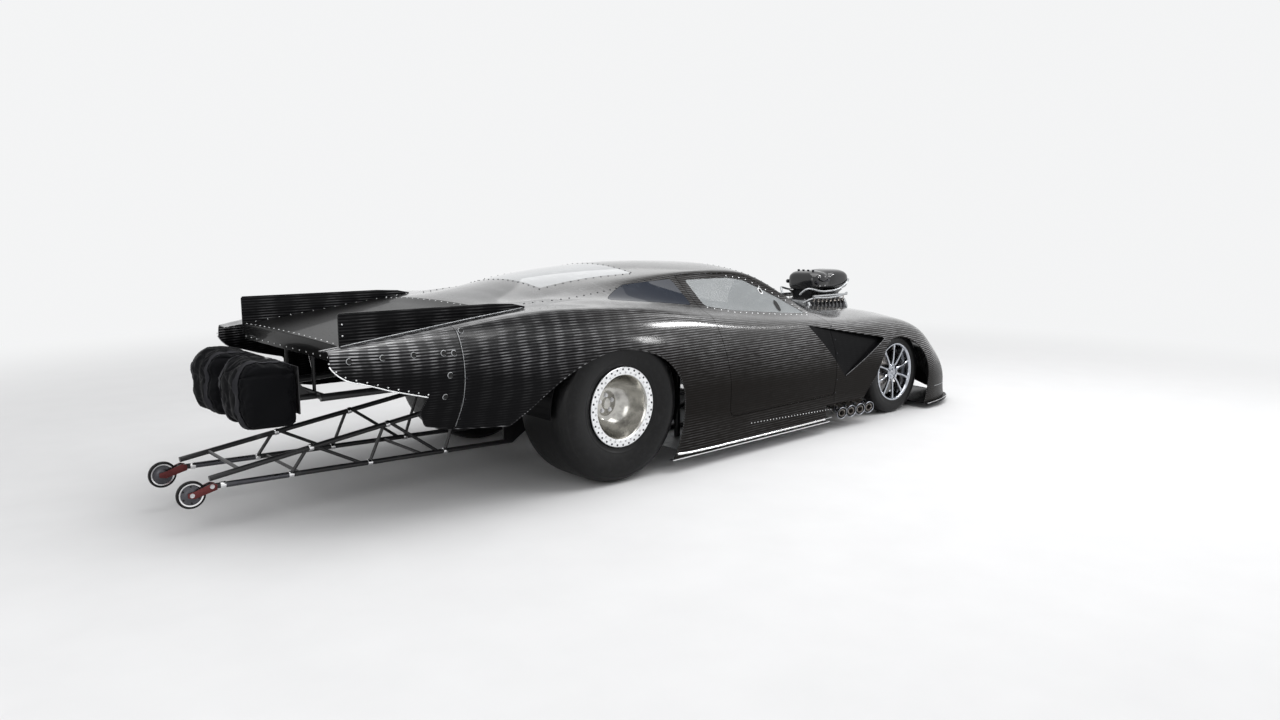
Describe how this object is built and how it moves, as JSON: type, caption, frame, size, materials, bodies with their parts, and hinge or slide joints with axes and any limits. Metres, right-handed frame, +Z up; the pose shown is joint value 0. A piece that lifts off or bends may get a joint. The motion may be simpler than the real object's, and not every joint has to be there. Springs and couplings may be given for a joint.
{
  "type": "drag racing car",
  "caption": "Wide-bodied drag racing coupe in raw carbon fibre, with an exposed supercharged engine, wheelie bars and parachute packs",
  "frame": {"origin": "on the floor under the middle of the car's length and width", "axes": "+X to the nose, +Y to the car's left, +Z up"},
  "size_m": [6.106, 1.9873, 1.2259],
  "materials": {
    "carbon_body": "semi-gloss",
    "carbon_inner": "semi-gloss",
    "black_gloss": "gloss",
    "hat_gloss": "gloss",
    "tinted_glass": "gloss",
    "clear_glass": "gloss",
    "frame_paint": "semi-gloss",
    "plate_alloy": "satin",
    "cast_alloy": "matte",
    "bright_alloy": "gloss",
    "pipe_steel": "satin",
    "polished_rim": "gloss",
    "bright_rim": "gloss",
    "tyre_rubber": "matte",
    "wheel_rubber": "matte",
    "black_fabric": "matte"
  },
  "bodies": {
    "chassis": {"front_clip": "carbon_body", "center_body": "carbon_body", "tail_section": "carbon_body", "deck_panel": "black_gloss", "spoiler_fences": "carbon_body", "front_splitter": "carbon_body", "rocker_strips": "bright_alloy", "windshield": "tinted_glass", "rear_glass": "tinted_glass", "floor_pan": "plate_alloy", "rear_tubs": "carbon_inner", "bulkheads": "plate_alloy", "dashboard": "carbon_inner", "chassis_frame": "frame_paint", "roll_cage": "frame_paint", "driver_seat": "carbon_inner", "steering_wheel": "black_gloss", "engine_block": "cast_alloy", "supercharger": "cast_alloy", "injector_hat": "hat_gloss", "blower_drive": "bright_alloy", "headers_left": "pipe_steel", "headers_right": "pipe_steel", "transmission": "cast_alloy", "drive_shaft": "plate_alloy", "rear_axle": "frame_paint", "rear_suspension": "plate_alloy", "front_suspension": "plate_alloy", "wheelie_bars": "frame_paint", "chute_mounts": "plate_alloy", "chute_pack_left": "black_fabric", "chute_pack_right": "black_fabric"},
    "door_left": {"door_left": "carbon_body", "door_glass_left": "clear_glass"},
    "door_right": {"door_right": "carbon_body", "door_glass_right": "clear_glass"},
    "rack": {"tie_rods": "pipe_steel"},
    "steer_left": {"knuckle_left": "plate_alloy"},
    "steer_right": {"knuckle_right": "plate_alloy"},
    "wheel_front_left": {"front_tyre_left": "tyre_rubber", "front_rim_left": "bright_rim", "front_disc_left": "pipe_steel"},
    "wheel_front_right": {"front_tyre_right": "tyre_rubber", "front_rim_right": "bright_rim", "front_disc_right": "pipe_steel"},
    "wheel_rear_left": {"rear_tyre_left": "tyre_rubber", "rear_rim_left": "polished_rim"},
    "wheel_rear_right": {"rear_tyre_right": "tyre_rubber", "rear_rim_right": "polished_rim"},
    "wheel_bar_left": {"bar_wheel_left": "wheel_rubber"},
    "wheel_bar_right": {"bar_wheel_right": "wheel_rubber"}
  },
  "joints": [
    {"name": "door_left", "type": "hinge", "parent": "chassis", "child": "door_left", "pos_m": [1.151, 0.94, 0.52], "axis": [0, 0, -1], "range_deg": [0, 60]},
    {"name": "door_right", "type": "hinge", "parent": "chassis", "child": "door_right", "pos_m": [1.151, -0.94, 0.52], "axis": [0, 0, 1], "range_deg": [0, 60]},
    {"name": "steer_left", "type": "hinge", "parent": "chassis", "child": "steer_left", "pos_m": [2.069, 0.64, 0.327], "axis": [0, 0, 1], "range_deg": [-20, 20]},
    {"name": "steer_right", "type": "hinge", "parent": "chassis", "child": "steer_right", "pos_m": [2.069, -0.64, 0.327], "axis": [0, 0, 1], "range_deg": [-20, 20]},
    {"name": "rack_slide", "type": "slide", "parent": "chassis", "child": "rack", "axis": [0, 1, 0], "range_m": [-0.046, 0.046]},
    {"name": "front_wheel_left", "type": "hinge", "parent": "steer_left", "child": "wheel_front_left", "pos_m": [2.069, 0.757, 0.327], "axis": [0, 1, 0], "continuous": true},
    {"name": "rear_wheel_left", "type": "hinge", "parent": "chassis", "child": "wheel_rear_left", "pos_m": [-0.852, 0.733, 0.448], "axis": [0, 1, 0], "continuous": true},
    {"name": "bar_wheel_left", "type": "hinge", "parent": "chassis", "child": "wheel_bar_left", "pos_m": [-2.9845, 0.241, 0.198], "axis": [0, 1, 0], "continuous": true},
    {"name": "front_wheel_right", "type": "hinge", "parent": "steer_right", "child": "wheel_front_right", "pos_m": [2.069, -0.757, 0.327], "axis": [0, 1, 0], "continuous": true},
    {"name": "rear_wheel_right", "type": "hinge", "parent": "chassis", "child": "wheel_rear_right", "pos_m": [-0.852, -0.733, 0.448], "axis": [0, 1, 0], "continuous": true},
    {"name": "bar_wheel_right", "type": "hinge", "parent": "chassis", "child": "wheel_bar_right", "pos_m": [-2.9845, -0.241, 0.198], "axis": [0, 1, 0], "continuous": true}
  ],
  "couplings": [
    {"joint": "steer_right", "follows": "steer_left", "ratio": 1},
    {"joint": "rack_slide", "follows": "steer_left", "m_per_rad": -0.13}
  ]
}
